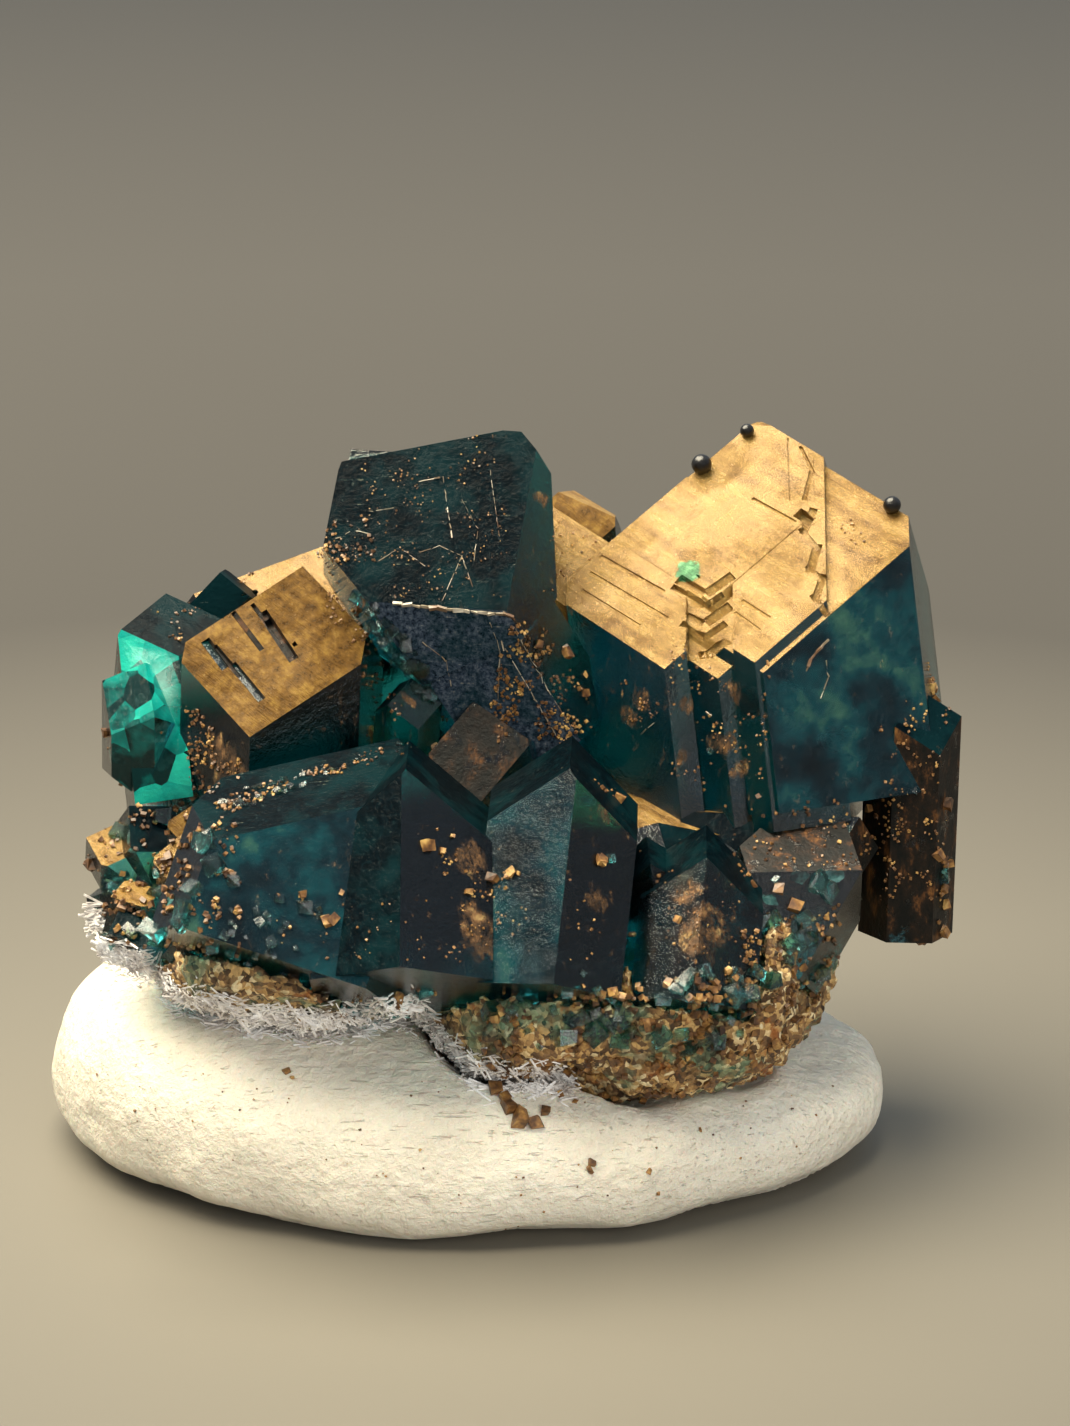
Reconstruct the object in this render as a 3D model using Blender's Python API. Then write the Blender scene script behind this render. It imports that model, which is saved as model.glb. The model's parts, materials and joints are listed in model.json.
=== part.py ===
"""Dioptase crystals on their rock, standing in a pad of white mounting putty.

Metres, +Z up. The origin is the middle of the pad's flat underside, and the side that
is seen first faces -Y. Lengths below are in millimetres, and the finished solids are
turned into metres at the very end.
"""

import math

import bmesh
import bpy
from mathutils import Matrix, Vector, noise

# Lengths are written in millimetres
MM = 0.001

# The tilt of a top face away from the crystal's long axis, in degrees
TOP_TILT = 50.96
# The directions of the three top faces and of the six side faces round that axis
TOP_TURNS = (0, 120, 240)
SIDE_TURNS = (30, 90, 150, 210, 270, 330)

# The gap left between a crystal and the rock, and between the stone and the putty
SOCKET_GAP = 0.1
SEAT_GAP = 0.15

# The putty pad
PAD_LENGTH = 23.8
PAD_WIDTH = 16.6
PAD_LEFT_TOP = 6.5
PAD_RIGHT_TOP = 3.3
PAD_BELLY = 1.8

# The rock: a low left lump, a deeper right lump and one behind, grown together
ROCK_LEFT_MIDDLE = (-3.4, -1.7, 7.7)
ROCK_LEFT_RADII = (6.0, 5.5, 2.4)
ROCK_RIGHT_MIDDLE = (3.8, -1.7, 6.5)
ROCK_RIGHT_RADII = (6.2, 6.3, 3.6)
ROCK_BACK_MIDDLE = (2.2, 2.6, 7.5)
ROCK_BACK_RADII = (8.4, 3.5, 2.3)
ROCK_LUMP = 0.6
ROCK_GRAIN = 0.25

# The crust of dioptase that all the crystals grow from
CRUST_MIDDLE = (0.9, -0.2, 8.4)
CRUST_RADII = (9.6, 4.6, 2.5)

# How a crystal stands: lean from upright, heading of the lean, turn about its axis
BIG_STAND = (16, 115, -100)
GOLD_STAND = (6, 68, -100)
CENTRE_STAND = (31, 196, -68)


def new_collection(name):
    collection = bpy.data.collections.new(name)
    bpy.context.scene.collection.children.link(collection)
    return collection


def new_material(name, color, roughness, transmission=0.0, ior=1.5):
    material = bpy.data.materials.new(name)
    material.use_nodes = True
    shader = material.node_tree.nodes["Principled BSDF"]
    shader.inputs["Base Color"].default_value = (*color, 1.0)
    shader.inputs["Roughness"].default_value = roughness
    shader.inputs["Transmission Weight"].default_value = transmission
    shader.inputs["IOR"].default_value = ior
    material.diffuse_color = (*color, 1.0)
    return material


def mesh_object(name, bm, collection, material=None):
    """Turns a bmesh into an object."""
    mesh = bpy.data.meshes.new(name)
    bm.to_mesh(mesh)
    bm.free()
    if material:
        mesh.materials.append(material)
    found = bpy.data.objects.new(name, mesh)
    collection.objects.link(found)
    return found


def cut(bm, point, normal):
    """Takes away what lies past the plane and closes the hole with one flat face."""
    everything = bm.verts[:] + bm.edges[:] + bm.faces[:]
    done = bmesh.ops.bisect_plane(
        bm, geom=everything, dist=1e-5, plane_co=point, plane_no=normal, clear_outer=True
    )
    rim = [item for item in done["geom_cut"] if isinstance(item, bmesh.types.BMEdge)]
    if len(rim) > 2:
        bmesh.ops.edgeloop_fill(bm, edges=rim)


def stand_matrix(stand):
    lean, heading, turn = (math.radians(angle) for angle in stand)
    side = math.sin(lean)
    axis = Vector((side * math.cos(heading), side * math.sin(heading), math.cos(lean)))
    upright = Vector((0, 0, 1))
    return upright.rotation_difference(axis).to_matrix() @ Matrix.Rotation(turn, 3, "Z")


def crystal_mesh(tip, stand, sides, length, tops, chips, grow):
    """One crystal: a block cut by its three top faces, six side faces and its chips."""
    turned = stand_matrix(stand)
    tip = Vector(tip)
    bm = bmesh.new()
    bmesh.ops.create_cube(bm, size=60.0, matrix=Matrix.Translation(tip))
    tilt = math.radians(TOP_TILT)
    for turn, distance in zip(TOP_TURNS, tops):
        around = math.radians(turn)
        flat = Vector((math.cos(around), math.sin(around), 0)) * math.sin(tilt)
        normal = turned @ (flat + Vector((0, 0, math.cos(tilt))))
        cut(bm, tip + normal * (distance + grow), normal)
    for turn, distance in zip(SIDE_TURNS, sides):
        around = math.radians(turn)
        normal = turned @ Vector((math.cos(around), math.sin(around), 0))
        cut(bm, tip + normal * (distance + grow), normal)
    down = turned @ Vector((0, 0, -1))
    cut(bm, tip + down * (length + grow), down)
    for direction, distance in chips:
        normal = Vector(direction).normalized()
        cut(bm, tip + normal * (distance + grow), normal)
    return bm


CRYSTALS = []


def crystal(tip, stand, sides, length, tops=(0, 0, 0), chips=()):
    """Notes one crystal down: where its tip is, how it stands and how wide it grew."""
    CRYSTALS.append((tip, stand, sides, length, tops, chips))


# The big group at the upper right: five crystals side by side with one common top face
BIG_TIP = (8.2, 5.0, 19.8)
WORN_TIP = (((-0.05, -0.1, 1.0), -0.14),)
crystal(BIG_TIP, BIG_STAND, (3.3, -2.0, 3.4, 3.4, 5.4, 5.9), 11.0, tops=(0.0, 0.0, 0.0))
crystal(
    BIG_TIP,
    BIG_STAND,
    (2.8, 1.6, 3.3, 3.5, 4.1, 4.1),
    11.2,
    tops=(0.01, -0.04, -0.05),
    chips=WORN_TIP,
)
crystal(
    BIG_TIP,
    BIG_STAND,
    (4.6, 1.9, 3.5, 3.3, 0.7, 4.7),
    11.3,
    tops=(-0.01, 0.02, -0.1),
    chips=WORN_TIP,
)
crystal(BIG_TIP, BIG_STAND, (3.8, -0.6, 3.0, 3.0, 2.2, 5.0), 11.1, tops=(-0.45, -0.1, -0.1))
crystal(BIG_TIP, BIG_STAND, (4.7, 4.2, 3.2, 3.2, 3.3, 4.6), 10.8, tops=(-0.2, -0.12, -0.2))

# The dark crystal at the top middle, and its narrower lower half below a ledge
CENTRE_TIP = (-3.4, 1.2, 19.8)
crystal(
    CENTRE_TIP,
    CENTRE_STAND,
    (3.9, 4.2, 2.4, 2.4, 2.1, 3.2),
    6.0,
    tops=(0.0, 0.9, 0.0),
    chips=(((-0.19, 0.30, 0.93), -0.3), ((-0.94, 0.11, 0.34), -0.1), ((0.99, 0.12, 0.0), 5.7)),
)
crystal(CENTRE_TIP, CENTRE_STAND, (3.6, 2.2, 2.2, 2.2, 1.9, 3.05), 9.6, tops=(-0.5, 0.2, -0.2))

# Two crystals between the dark one and the big group
crystal(BIG_TIP, BIG_STAND, (2.0, -3.8, 3.4, 3.4, 6.1, 5.7), 11.4, tops=(-0.25, -5.6, 2.4))
crystal(
    (2.4, 5.2, 17.9),
    (8, 135, -97),
    (1.8, 1.8, 1.8, 1.8, 0.6, 1.8),
    7.0,
    tops=(0.0, 0.3, -0.4),
    chips=(((0.3, 0.0, 0.95), -0.2),),
)

# The gold-topped crystal at the left, with a small pyramid and a long ridge behind it
crystal((-4.6, 1.5, 16.6), GOLD_STAND, (2.8, 2.2, 2.0, 2.0, 2.8, 3.3), 8.0, tops=(0.0, -0.1, -0.2))
crystal((-7.0, 3.0, 15.8), (21, 254, -92), (0.8, 0.9, 0.9, 0.8, 0.9, 0.9), 6.0)
crystal((-4.2, 5.0, 16.0), (19, 51, -112), (2.8, 2.8, 2.8, 4.4, 4.4, 2.9), 7.0)

# The dusty dark crystal and the bright one at the left edge
crystal((-8.5, 2.6, 15.3), (26, 105, -75), (1.4, 1.5, 1.4, 1.5, 1.6, 1.5), 6.0)
crystal(
    (-8.9, 0.2, 14.0),
    (10, 285, -15),
    (1.2, 1.4, 1.2, 1.1, 1.3, 1.3),
    4.5,
    chips=(((-0.6, -0.3, -0.75), 3.1), ((0.5, -0.35, -0.8), 3.4)),
)

# A small copper-coloured one and the dark one beside it in the middle
crystal((-1.5, -0.6, 13.8), (8, 315, -70), (0.8, 0.8, 0.8, 0.8, 0.8, 0.8), 4.0)
crystal((0.2, -0.8, 13.2), (14, 215, -95), (1.5, 1.4, 1.3, 1.3, 1.4, 1.6), 6.0)

# The big front crystals, leaning back, whose upper edges run as a bright rim
crystal((-1.5, -3.0, 12.8), (36, 90, -150), (2.4, 2.3, 2.3, 2.3, 2.4, 2.5), 7.0)
crystal((-1.8, -2.8, 12.8), (37, 60, -120), (2.3, 2.3, 2.3, 3.4, 3.6, 4.4), 7.2)
crystal((2.9, -3.2, 13.0), (32, 78, -150), (2.0, 2.2, 2.0, 2.0, 1.9, 2.0), 7.2)
crystal((6.5, -4.2, 10.8), (30, 78, -150), (1.7, 1.7, 1.7, 1.7, 1.6, 1.6), 5.0)
crystal((4.9, -4.0, 10.4), (28, 104, -150), (1.3, 1.3, 1.3, 1.3, 1.2, 1.2), 4.4)

# Two that lie on their sides at the lower right, and the dark upright at the far right
crystal((10.4, -2.2, 10.2), (38, 35, -120), (1.5, 1.5, 1.5, 1.5, 1.6, 2.3), 4.5)
crystal((11.4, -1.6, 9.2), (93, 3, 20), (0.9, 1.0, 0.9, 0.9, 1.0, 0.9), 5.6)
crystal((12.5, 0.1, 13.3), (6, 79, -60), (1.1, 1.1, 1.3, 1.2, 1.2, 1.2), 7.0)

# Small crystals at the lower left
crystal((-10.5, -1.6, 9.5), (50, 190, -30), (0.8, 0.8, 0.7, 0.8, 0.8, 0.9), 4.0)
crystal((-10.4, -2.9, 8.2), (66, 200, -80), (0.7, 0.8, 0.8, 0.7, 0.8, 0.7), 4.4)
crystal((-9.6, -4.1, 8.7), (50, 215, 20), (0.8, 0.7, 0.8, 0.8, 0.7, 0.8), 4.6)
crystal((-9.6, -5.0, 8.0), (66, 230, -110), (0.7, 0.8, 0.7, 0.8, 0.7, 0.8), 5.6)
crystal((-7.6, -5.3, 8.1), (50, 240, 10), (0.8, 0.8, 0.9, 0.8, 0.7, 0.8), 4.4)
crystal((-9.3, -1.5, 10.4), (24, 194, -40), (1.0, 1.1, 1.1, 1.0, 1.0, 1.1), 3.6)
crystal((-9.9, -2.0, 8.8), (39, 198, -75), (0.9, 0.9, 0.9, 0.9, 0.9, 0.9), 3.6)
crystal((-7.7, -3.2, 8.5), (25, 225, -120), (1.0, 1.1, 1.1, 1.0, 1.0, 1.1), 3.4)
crystal((-9.8, -2.4, 7.8), (50, 196, -100), (0.8, 0.8, 0.8, 0.8, 0.8, 0.8), 3.0)
crystal((-7.3, -2.6, 10.9), GOLD_STAND, (0.8, 0.7, 0.7, 0.7, 0.7, 0.8), 3.6)
crystal((-7.6, -3.3, 10.3), (8, 150, -112), (0.8, 0.8, 0.7, 0.7, 0.8, 0.9), 3.6)

# Crystals round the back
crystal((-2.0, 4.6, 14.6), (18, 100, 95), (1.9, 1.8, 1.6, 1.7, 2.0, 1.8), 7.0)
crystal((-6.6, 4.4, 12.6), (34, 120, 60), (1.5, 1.4, 1.5, 1.6, 1.4, 1.5), 5.6)
crystal((2.6, 6.2, 13.4), (40, 95, 80), (1.7, 1.6, 1.5, 1.6, 1.8, 1.6), 6.0)
crystal((10.8, 5.6, 12.4), (38, 60, 40), (1.6, 1.5, 1.4, 1.5, 1.6, 1.5), 6.0)
crystal((6.8, 6.9, 11.4), (55, 88, 70), (1.6, 1.7, 1.5, 1.5, 1.6, 1.6), 6.0)
crystal((-1.8, 5.8, 10.2), (62, 96, 100), (1.5, 1.4, 1.4, 1.5, 1.4, 1.5), 5.6)
crystal((-9.6, 3.2, 11.2), (48, 150, 20), (1.2, 1.2, 1.1, 1.2, 1.3, 1.2), 5.0)


def crystal_group(name, collection, cutters, grow, material=None):
    """Grows every crystal from the crust and joins them into one solid."""
    crust = lump_mesh(CRUST_MIDDLE, CRUST_RADII, 3, grow, 0.5, 0.15)
    whole = mesh_object(name, crust, collection, material)
    singles = bpy.data.collections.new(name + "_singles")
    cutters.children.link(singles)
    for number, (tip, stand, sides, length, tops, chips) in enumerate(CRYSTALS):
        bm = crystal_mesh(tip, stand, sides, length, tops, chips, grow)
        hide(mesh_object(f"{name}_{number}", bm, singles))
    joined = whole.modifiers.new("grow together", "BOOLEAN")
    joined.operation = "UNION"
    joined.solver = "EXACT"
    joined.operand_type = "COLLECTION"
    joined.collection = singles
    return whole


def hide(item):
    item.hide_render = True
    item.display_type = "WIRE"


def lump_mesh(middle, radii, subdivisions, grow, lump, grain):
    """A rounded lump with broken, blocky faces."""
    bm = bmesh.new()
    bmesh.ops.create_icosphere(bm, subdivisions=subdivisions, radius=1.0)
    for vert in bm.verts:
        out = vert.co.normalized()
        place = Vector(middle) + Vector((out.x * radii[0], out.y * radii[1], out.z * radii[2]))
        rise = lump * noise.noise(place * 0.33) * 2.0
        rise += grain * (noise.voronoi(place * 0.75)[0][0] - 0.4) * 2.0
        vert.co = place + out * (rise + grow)
    return bm


def difference(item, cutter, name):
    cutting = item.modifiers.new(name, "BOOLEAN")
    cutting.operation = "DIFFERENCE"
    cutting.solver = "EXACT"
    cutting.object = cutter


def keep_largest(item):
    """Fixes the modifiers into the mesh and keeps only the largest body of it."""
    graph = bpy.context.evaluated_depsgraph_get()
    mesh = bpy.data.meshes.new_from_object(item.evaluated_get(graph))
    bm = bmesh.new()
    bm.from_mesh(mesh)
    bmesh.ops.remove_doubles(bm, verts=bm.verts, dist=1e-7)
    bodies = []
    left = set(bm.verts)
    while left:
        body = set()
        edge = [left.pop()]
        while edge:
            vert = edge.pop()
            body.add(vert)
            for link in vert.link_edges:
                other = link.other_vert(vert)
                if other in left:
                    left.discard(other)
                    edge.append(other)
        bodies.append(body)
    bodies.sort(key=len)
    crumbs = [vert for body in bodies[:-1] for vert in body]
    bmesh.ops.delete(bm, geom=crumbs, context="VERTS")
    bm.to_mesh(mesh)
    bm.free()
    item.modifiers.clear()
    item.data = mesh
    return len(bodies)


def rock_lumps(name, collection, cutters, grow, subdivisions, material=None):
    """The three lumps of rock as one object."""
    rough = (subdivisions, grow, ROCK_LUMP, ROCK_GRAIN)
    left = lump_mesh(ROCK_LEFT_MIDDLE, ROCK_LEFT_RADII, *rough)
    right = lump_mesh(ROCK_RIGHT_MIDDLE, ROCK_RIGHT_RADII, *rough)
    back = lump_mesh(ROCK_BACK_MIDDLE, ROCK_BACK_RADII, *rough)
    whole = mesh_object(name, left, collection, material)
    others = bpy.data.collections.new(name + "_lumps")
    cutters.children.link(others)
    hide(mesh_object(name + "_right", right, others))
    hide(mesh_object(name + "_back", back, others))
    joined = whole.modifiers.new("grow together", "BOOLEAN")
    joined.operation = "UNION"
    joined.solver = "EXACT"
    joined.operand_type = "COLLECTION"
    joined.collection = others
    return whole


def pad_mesh():
    """A pressed pad: round edge, flat underside, higher at the left than at the right."""
    bm = bmesh.new()
    bmesh.ops.create_uvsphere(bm, u_segments=48, v_segments=24, radius=1.0)
    for vert in bm.verts:
        out = vert.co.normalized()
        ring = math.hypot(out.x, out.y)
        spread = ring**0.62 / ring if ring > 1e-6 else 0.0
        x = out.x * spread * PAD_LENGTH / 2
        y = out.y * spread * PAD_WIDTH / 2
        share = (x + PAD_LENGTH / 2) / PAD_LENGTH
        top = PAD_LEFT_TOP + (PAD_RIGHT_TOP - PAD_LEFT_TOP) * share
        if out.z > 0:
            z = PAD_BELLY + (top - PAD_BELLY) * out.z**0.8
        else:
            z = PAD_BELLY - (PAD_BELLY + 0.5) * (-out.z) ** 0.6
        push = 0.28 * noise.noise(Vector((x, y, z)) * 0.28)
        push += 0.08 * noise.noise(Vector((x, y, z)) * 0.9)
        vert.co = Vector((x, y, z)) + out * push
    cut(bm, (0, 0, 0), (0, 0, -1))
    return bm


for item in list(bpy.data.objects):
    bpy.data.objects.remove(item)

specimen = new_collection("dioptase_specimen")
helpers = new_collection("cutters")
helpers.hide_render = True

dioptase = new_material("dioptase", (0.0, 0.30, 0.26), 0.08, transmission=0.8, ior=1.66)
rock = new_material("limonite rock", (0.20, 0.11, 0.05), 0.85)
putty = new_material("mounting putty", (0.80, 0.77, 0.70), 0.6)

crystals = crystal_group("crystals", specimen, helpers, 0.0, dioptase)
sockets = crystal_group("sockets", helpers, helpers, SOCKET_GAP)
hide(sockets)

matrix = rock_lumps("matrix", specimen, helpers, 0.0, 4, rock)
difference(matrix, sockets, "crystal sockets")
seat = rock_lumps("seat", helpers, helpers, SEAT_GAP, 4)
hide(seat)

pad = mesh_object("putty", pad_mesh(), specimen, putty)
difference(pad, seat, "dent under the rock")
difference(pad, sockets, "dent under the crystals")

for item in (crystals, sockets, seat, matrix, pad):
    count = keep_largest(item)
    print(item.name, "bodies found:", count, "faces kept:", len(item.data.polygons))

for item in bpy.data.objects:
    item.data.transform(Matrix.Scale(MM, 4))
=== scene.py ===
# %% [markdown]
# # A dioptase specimen
# Blue-green copper silicate crystals stand on a lump of brown iron rock, and the rock is
# pressed into a pad of white putty. The solids come ready made, so this lesson dresses
# them: it copies each solid, adds the fine relief that a solid for physics leaves out, and
# gives each copy a material.

# %% Load the solids
import json
import math
import random

import bmesh
import bpy
from mathutils import Matrix, Vector, noise
from mathutils.bvhtree import BVHTree

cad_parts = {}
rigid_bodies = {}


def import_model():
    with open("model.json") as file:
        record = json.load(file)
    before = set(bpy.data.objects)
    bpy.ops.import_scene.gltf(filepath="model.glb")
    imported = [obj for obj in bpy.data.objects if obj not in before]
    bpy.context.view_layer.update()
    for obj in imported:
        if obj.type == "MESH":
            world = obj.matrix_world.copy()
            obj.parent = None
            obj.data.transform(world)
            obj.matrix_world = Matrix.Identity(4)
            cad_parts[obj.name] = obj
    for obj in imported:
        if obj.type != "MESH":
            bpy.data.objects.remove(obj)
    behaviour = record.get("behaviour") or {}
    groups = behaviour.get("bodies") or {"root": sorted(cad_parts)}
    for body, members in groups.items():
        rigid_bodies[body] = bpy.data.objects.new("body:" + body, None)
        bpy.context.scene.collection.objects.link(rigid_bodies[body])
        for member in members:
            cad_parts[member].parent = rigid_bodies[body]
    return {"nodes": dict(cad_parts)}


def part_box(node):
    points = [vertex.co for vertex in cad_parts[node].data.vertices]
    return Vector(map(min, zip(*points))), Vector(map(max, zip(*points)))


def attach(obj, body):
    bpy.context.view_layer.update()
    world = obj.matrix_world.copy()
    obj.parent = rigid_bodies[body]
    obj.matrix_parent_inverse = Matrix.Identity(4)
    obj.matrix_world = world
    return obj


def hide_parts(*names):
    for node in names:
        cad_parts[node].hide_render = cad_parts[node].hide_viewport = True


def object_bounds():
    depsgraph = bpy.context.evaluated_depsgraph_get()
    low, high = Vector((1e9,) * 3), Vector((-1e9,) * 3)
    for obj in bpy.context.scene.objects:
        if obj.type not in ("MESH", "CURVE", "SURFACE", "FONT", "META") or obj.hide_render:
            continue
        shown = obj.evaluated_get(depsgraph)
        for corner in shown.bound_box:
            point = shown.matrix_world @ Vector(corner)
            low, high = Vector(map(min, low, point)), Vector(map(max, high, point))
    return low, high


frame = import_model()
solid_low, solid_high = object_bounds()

MM = 0.001
nodes = frame["nodes"]
print("solids:", sorted(nodes), "size in mm:", [round(v / MM, 1) for v in solid_high - solid_low])

# %% [markdown]
# ## The camera first
# The specimen is seen from a little above, through a long lens, so its edges hardly
# converge. The camera is made first because later steps look through it: a stain or a
# grain of dust is put where the eye meets it, and it then lies on the surface found there.

# %% Camera
LOOK_AT = Vector((1.9, 0.0, 12.6)) * MM
DISTANCE = 110 * MM
RISE = math.radians(18)
PICTURE_WIDTH, PICTURE_HEIGHT = 1070, 1426
LENS, SENSOR = 100.0, 36.0

camera_data = bpy.data.cameras.new("camera")
camera_data.lens = LENS
camera_data.sensor_width = SENSOR
camera_data.clip_start = 1 * MM
camera_data.clip_end = 5.0
camera = bpy.data.objects.new("camera", camera_data)
bpy.context.scene.collection.objects.link(camera)
camera.location = LOOK_AT + DISTANCE * Vector((0, -math.cos(RISE), math.sin(RISE)))
camera.rotation_euler = (math.pi / 2 - RISE, 0, 0)
bpy.context.scene.camera = camera


def sight_line(x, y):
    """The direction from the camera through a place in the picture."""
    focal = LENS / SENSOR * PICTURE_HEIGHT
    right = Vector((1, 0, 0))
    up = Vector((0, math.sin(RISE), math.cos(RISE)))
    ahead = Vector((0, math.cos(RISE), -math.sin(RISE)))
    across = (x - PICTURE_WIDTH / 2) / focal
    rise = (PICTURE_HEIGHT / 2 - y) / focal
    return (ahead + right * across + up * rise).normalized()


# %% [markdown]
# ## Working copies
# A solid arrives as loose triangles. A copy is merged, and its flat neighbours are
# dissolved into whole faces, so that each crystal face is one polygon again. The work is
# done in millimetres, because the merging distances are then easy to read.


# %% Copy a solid
def solid_copy(name, flatten=True):
    """A bmesh of one solid in millimetres, merged and with its flat faces whole."""
    bm = bmesh.new()
    bm.from_mesh(nodes[name].data)
    bmesh.ops.scale(bm, vec=(1 / MM,) * 3, verts=bm.verts)
    bmesh.ops.remove_doubles(bm, verts=bm.verts, dist=0.0005)
    if flatten:
        bmesh.ops.dissolve_limit(bm, angle_limit=math.radians(0.6), verts=bm.verts, edges=bm.edges)
    return bm


def piece(name, bm, materials, stands_for=None, smooth=False):
    """Makes an object of a bmesh in millimetres and lets it ride on the part."""
    bmesh.ops.scale(bm, vec=(MM,) * 3, verts=bm.verts)
    mesh = bpy.data.meshes.new(name)
    bm.to_mesh(mesh)
    bm.free()
    for material in materials:
        mesh.materials.append(material)
    if smooth:
        mesh.shade_smooth()
    made = bpy.data.objects.new(name, mesh)
    bpy.context.scene.collection.objects.link(made)
    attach(made, "root")
    if stands_for:
        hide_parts(stands_for)
    print(name, "faces:", len(mesh.polygons))


# %% [markdown]
# ## Tools for materials
# Colours are written as the hex values a screen shows and are turned to linear light in
# one place. One helper adds a node with its settings and its links, and the others lay
# patterns and coats over each other.


# %% Colour and node helpers
def linear(hex_colour):
    """A screen colour such as #1f7a70 as linear red, green, blue and alpha."""
    values = [int(hex_colour[i : i + 2], 16) / 255 for i in (1, 3, 5)]
    curved = (v / 12.92 if v <= 0.04045 else ((v + 0.055) / 1.055) ** 2.4 for v in values)
    return (*curved, 1.0)


def add(tree, kind, settings=(), links=()):
    """Adds a node. Settings name its options or inputs, and links feed its inputs.

    A link comes from an output, or from a node, which stands for its first output.
    """
    node = tree.nodes.new("ShaderNode" + kind)
    for key, value in dict(settings).items():
        if key == "stops":
            band = node.color_ramp.elements
            while len(band) < len(value):
                band.new(0.5)
            for element, (place, colour) in zip(band, value):
                element.position, element.color = place, linear(colour)
        elif isinstance(key, str) and hasattr(node, key):
            setattr(node, key, value)
        else:
            node.inputs[key].default_value = value
    for key, source in dict(links).items():
        if isinstance(source, bpy.types.Node):
            source = source.outputs[0]
        tree.links.new(source, node.inputs[key])
    return node


# What a soft threshold, a noise and the commonest sums set on their nodes
SOFT = {"interpolation_type": "SMOOTHSTEP"}
NOISE_LOOK = ("Scale", "Detail", "Roughness")
TIMES, PLUS, LARGER = ({"operation": way} for way in ("MULTIPLY", "ADD", "MAXIMUM"))


def layered(tree, layers):
    """Adds patterns up, each times its share."""
    total = None
    for pattern, share in layers:
        scaled = add(tree, "Math", {**TIMES, 1: share}, {0: pattern})
        total = add(tree, "Math", PLUS, {0: total, 1: scaled}) if total is not None else scaled
    return total


def patches(tree, place, look, low, high):
    """Soft patches where a noise passes a threshold. Its look is scale, detail, roughness."""
    found = add(tree, "TexNoise", dict(zip(NOISE_LOOK, look)), {"Vector": place})
    return add(tree, "MapRange", {**SOFT, "From Min": low, "From Max": high}, {"Value": found})


def mottle(tree, place, look, stops):
    """A noise turned to colours."""
    found = add(tree, "TexNoise", dict(zip(NOISE_LOOK, look)), {"Vector": place})
    return add(tree, "ValToRGB", {"stops": stops}, {"Fac": found})


def tinted(tree, colour, hex_colour, mask, share):
    """Blends a colour toward another one where the mask says, up to a share."""
    part = add(tree, "Math", {**TIMES, 1: share}, {0: mask})
    settings = {"data_type": "RGBA", 7: linear(hex_colour)}
    return add(tree, "Mix", settings, {0: part, 6: colour}).outputs[2]


def new_material(name):
    """An empty material with its output, and the surface place in millimetres."""
    material = bpy.data.materials.new(name)
    material.use_nodes = True
    tree = material.node_tree
    tree.nodes.clear()
    output = add(tree, "OutputMaterial")
    place = add(tree, "TexCoord")
    in_mm = add(
        tree, "VectorMath", {"operation": "MULTIPLY", 1: (1000, 1000, 1000)},
        {0: place.outputs["Object"]},
    )
    return material, tree, output, in_mm.outputs["Vector"]


def spots(tree, place, marks):
    """A mask that is 1 at the middle of each mark and 0 past its radius."""
    total = None
    for middle, radius in marks:
        gap = add(
            tree, "VectorMath", {"operation": "DISTANCE", 1: tuple(middle)}, {0: place}
        ).outputs["Value"]
        one = add(
            tree, "MapRange", {**SOFT, "From Min": radius, "From Max": radius * 0.25},
            {"Value": gap},
        )
        total = one if total is None else add(tree, "Math", LARGER, {0: total, 1: one})
    return total


def coat(tree, surface, mask, colour, rough, bump, index=1.5):
    """Lays a thin coat of a colour over a surface, as thick as the mask says."""
    dull = add(
        tree, "BsdfPrincipled", {"Roughness": rough, "IOR": index},
        {"Base Color": colour, "Normal": bump},
    )
    settings, links = {}, {1: surface, 2: dull.outputs[0]}
    (settings if isinstance(mask, float) else links)[0] = mask
    return add(tree, "MixShader", settings, links).outputs[0]


# %% [markdown]
# ## Crystal geometry
# The faces of dioptase are flat and its edges sharp, yet a real edge is never a perfect
# line: it is worn by a few hundredths of a millimetre and catches the light. A small bevel
# gives that. The grooves of the gold-lit face at the left, the broken hole and the ragged
# step of the large face are cut with blocks, since they are real shapes.

# %% Crystals
crystal_bm = solid_copy("crystals")
crystal_tree = BVHTree.FromBMesh(crystal_bm)


def seen_at(x, y):
    """The point and normal, in millimetres, that the eye meets at a place in the picture."""
    eye = Vector(camera.location) / MM
    return crystal_tree.ray_cast(eye, sight_line(x, y))[:2]


def groove(blocks, start, end, width, depth, tilt):
    """Notes down a wedge along a line of the picture, to be cut out of the crystals."""
    a, normal = seen_at(*start)
    b, _ = seen_at(*end)
    if a is None or b is None:
        return
    along = (b - a).normalized()
    normal = (normal - along * normal.dot(along)).normalized()
    across = normal.cross(along)
    normal = (normal + across * tilt).normalized()
    across = normal.cross(along)
    turn = Matrix((along, across, normal)).transposed().to_4x4()
    middle = (a + b) / 2
    size = Matrix.Diagonal(((b - a).length, width, depth * 2, 1))
    cutter = bmesh.new()
    bmesh.ops.create_cube(cutter, size=1.0, matrix=Matrix.Translation(middle) @ turn @ size)
    blocks.append(cutter)


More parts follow.
